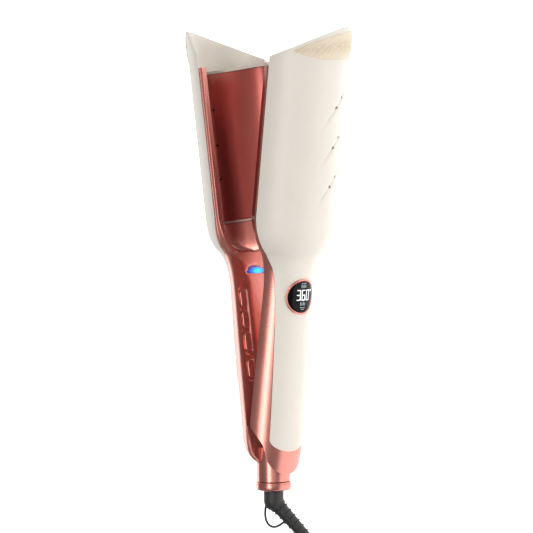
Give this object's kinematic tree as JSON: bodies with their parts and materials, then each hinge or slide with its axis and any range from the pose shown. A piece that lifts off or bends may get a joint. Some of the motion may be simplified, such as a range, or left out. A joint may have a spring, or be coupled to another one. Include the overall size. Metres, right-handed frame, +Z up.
{
  "type": "hair crimper",
  "caption": "Deep-wave hair crimper lying on its side with its arms open: half-shell heads with curved heating plates, slim hinged handles, buttons, a display and a swivel cord.",
  "frame": {"origin": "centre of the bounding box's bottom face, without the cord, on the table the tool lies on", "axes": "+X towards the arm with the display, +Y from the cord end to the open tips, +Z up, the side with the buttons"},
  "size_m": [0.145, 0.4934, 0.0672],
  "materials": {
    "cream_shell": "satin",
    "grip_insert": "satin ribbed",
    "rose_gold_shell": "metallic satin",
    "coated_plate": "metallic coated",
    "heat_resistant_trim": "satin",
    "steel": "brushed",
    "heater_block": "matt",
    "insulating_board": "matt",
    "circuit_board": "matt",
    "display_glass": "gloss",
    "ion_lens": "gloss",
    "black_plastic": "matt",
    "black_rubber": "matt"
  },
  "bodies": {
    "cord_arm": {"base_cap": "rose_gold_shell", "collar": "rose_gold_shell", "control_board": "circuit_board", "end_wall_left": "heat_resistant_trim", "heater_clamp_left": "steel", "heater_left": "heater_block", "heating_plate_left": "coated_plate", "hinge_pin": "steel", "inner_frame_left": "rose_gold_shell", "ion_generator": "black_plastic", "ion_lens": "ion_lens", "outer_cover_left": "cream_shell", "plate_support_left": "insulating_board", "plate_trim_left": "heat_resistant_trim", "switch_mode": "black_plastic", "switch_power": "black_plastic", "switch_temp_down": "black_plastic", "switch_temp_up": "black_plastic", "temperature_sensor_left": "steel", "tip_grip_left": "grip_insert", "torsion_spring": "steel"},
    "display_arm": {"display_bezel": "rose_gold_shell", "display_board": "circuit_board", "display_window": "display_glass", "end_wall_right": "heat_resistant_trim", "heater_clamp_right": "steel", "heater_right": "heater_block", "heating_plate_right": "coated_plate", "inner_frame_right": "rose_gold_shell", "outer_cover_right": "cream_shell", "plate_support_right": "insulating_board", "plate_trim_right": "heat_resistant_trim", "thermal_fuse_right": "steel", "tip_grip_right": "grip_insert"},
    "cord_swivel": {"swivel_gland": "black_rubber", "power_cord": "black_rubber", "cord_coil": "black_rubber", "cord_tail": "black_rubber", "plug_body": "black_rubber", "plug_pin_live": "steel", "plug_pin_neutral": "steel"},
    "button_mode": {"button_mode": "rose_gold_shell"},
    "button_power": {"button_power": "rose_gold_shell"},
    "button_temp_down": {"button_temp_down": "rose_gold_shell"},
    "button_temp_up": {"button_temp_up": "rose_gold_shell"}
  },
  "joints": [
    {"name": "arm_hinge", "type": "hinge", "parent": "cord_arm", "child": "display_arm", "pos_m": [0, -0.07583, 0.03355], "axis": [0, 0, 1], "range_deg": [0, 16.5], "stiffness_Nm_per_rad": 0.8, "springref_deg": -8.59},
    {"name": "cord_swivel_turn", "type": "hinge", "parent": "cord_arm", "child": "cord_swivel", "pos_m": [0, -0.14083, 0.03355], "axis": [0, 1, 0], "continuous": true},
    {"name": "mode_press", "type": "slide", "parent": "cord_arm", "child": "button_mode", "axis": [-0.9558, -0.1386, -0.2593], "range_m": [0, 0.0007], "stiffness_N_per_m": 600, "springref_m": -0.0004},
    {"name": "power_press", "type": "slide", "parent": "cord_arm", "child": "button_power", "axis": [-0.9558, -0.1386, -0.2593], "range_m": [0, 0.0007], "stiffness_N_per_m": 600, "springref_m": -0.0004},
    {"name": "temp_down_press", "type": "slide", "parent": "cord_arm", "child": "button_temp_down", "axis": [-0.9558, -0.1386, -0.2593], "range_m": [0, 0.0007], "stiffness_N_per_m": 600, "springref_m": -0.0004},
    {"name": "temp_up_press", "type": "slide", "parent": "cord_arm", "child": "button_temp_up", "axis": [-0.9558, -0.1386, -0.2593], "range_m": [0, 0.0007], "stiffness_N_per_m": 600, "springref_m": -0.0004}
  ]
}
